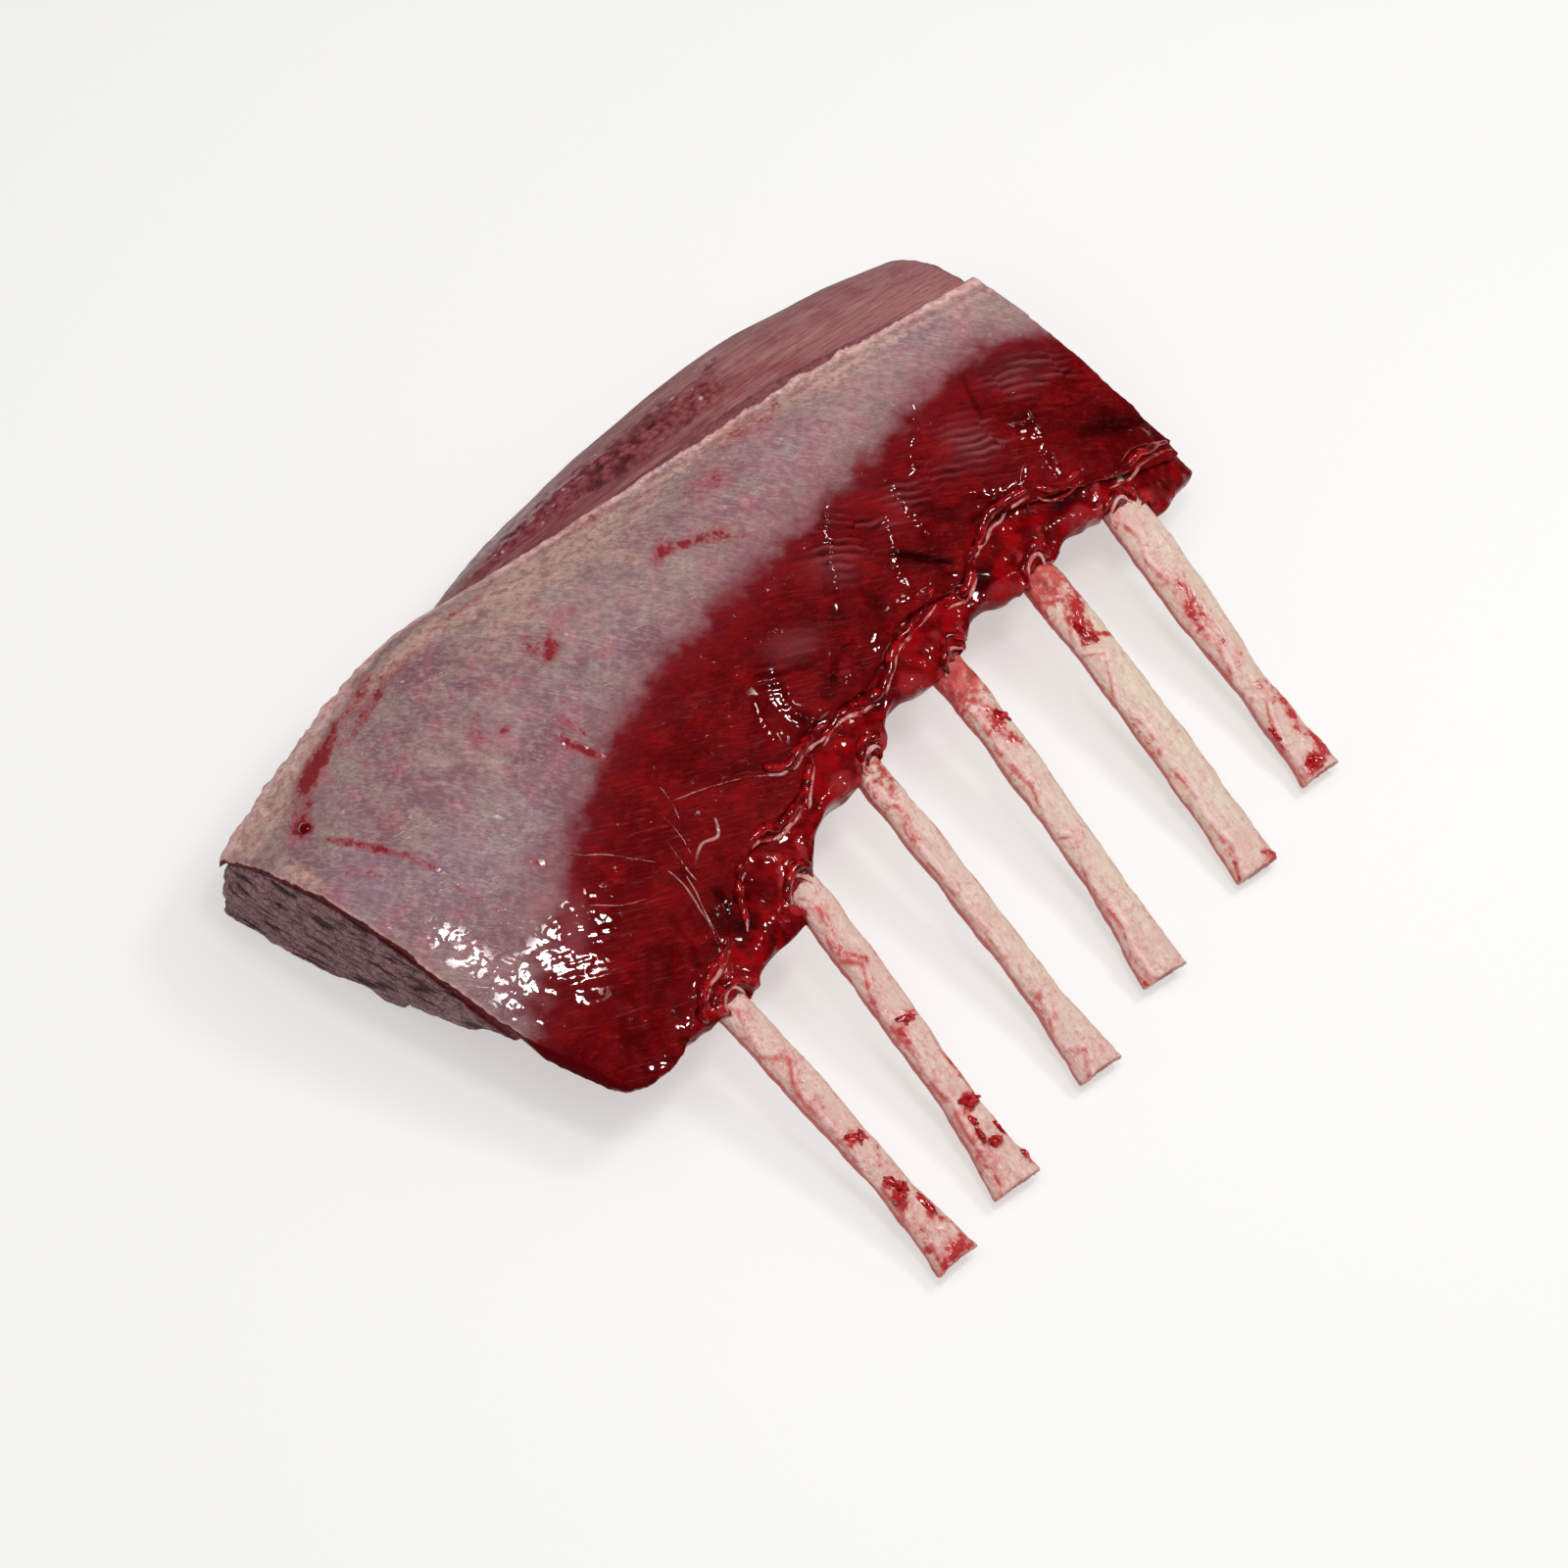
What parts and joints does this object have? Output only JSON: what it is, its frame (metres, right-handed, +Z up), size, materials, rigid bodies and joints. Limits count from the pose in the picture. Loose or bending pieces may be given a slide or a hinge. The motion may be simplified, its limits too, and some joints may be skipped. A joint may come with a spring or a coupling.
{
  "type": "raw rack of goat",
  "caption": "Raw rack of goat: loin eye under silverskin and cap muscle, with long cleaned rib bones, lying outer side up.",
  "frame": {"origin": "centre of the bounding box in plan, at the surface the rack lies on", "axes": "+X from the loin end to the shoulder end, +Y towards the back of the animal, away from the bare rib tips, +Z up out of the silverskin side"},
  "size_m": [0.18, 0.1578, 0.0395],
  "materials": {
    "loin_meat": "moist raw muscle, dark purple red",
    "cover_meat": "wet silverskin and deep red cap muscle",
    "rib_meat": "wet deep red muscle",
    "bone": "moist scraped bone, cream and pink"
  },
  "bodies": {
    "root": {"loin_muscle": "loin_meat", "outer_layer": "cover_meat", "rib_layer": "rib_meat", "rib_1": "bone", "rib_2": "bone", "rib_3": "bone", "rib_4": "bone", "rib_5": "bone", "rib_6": "bone"}
  },
  "joints": []
}
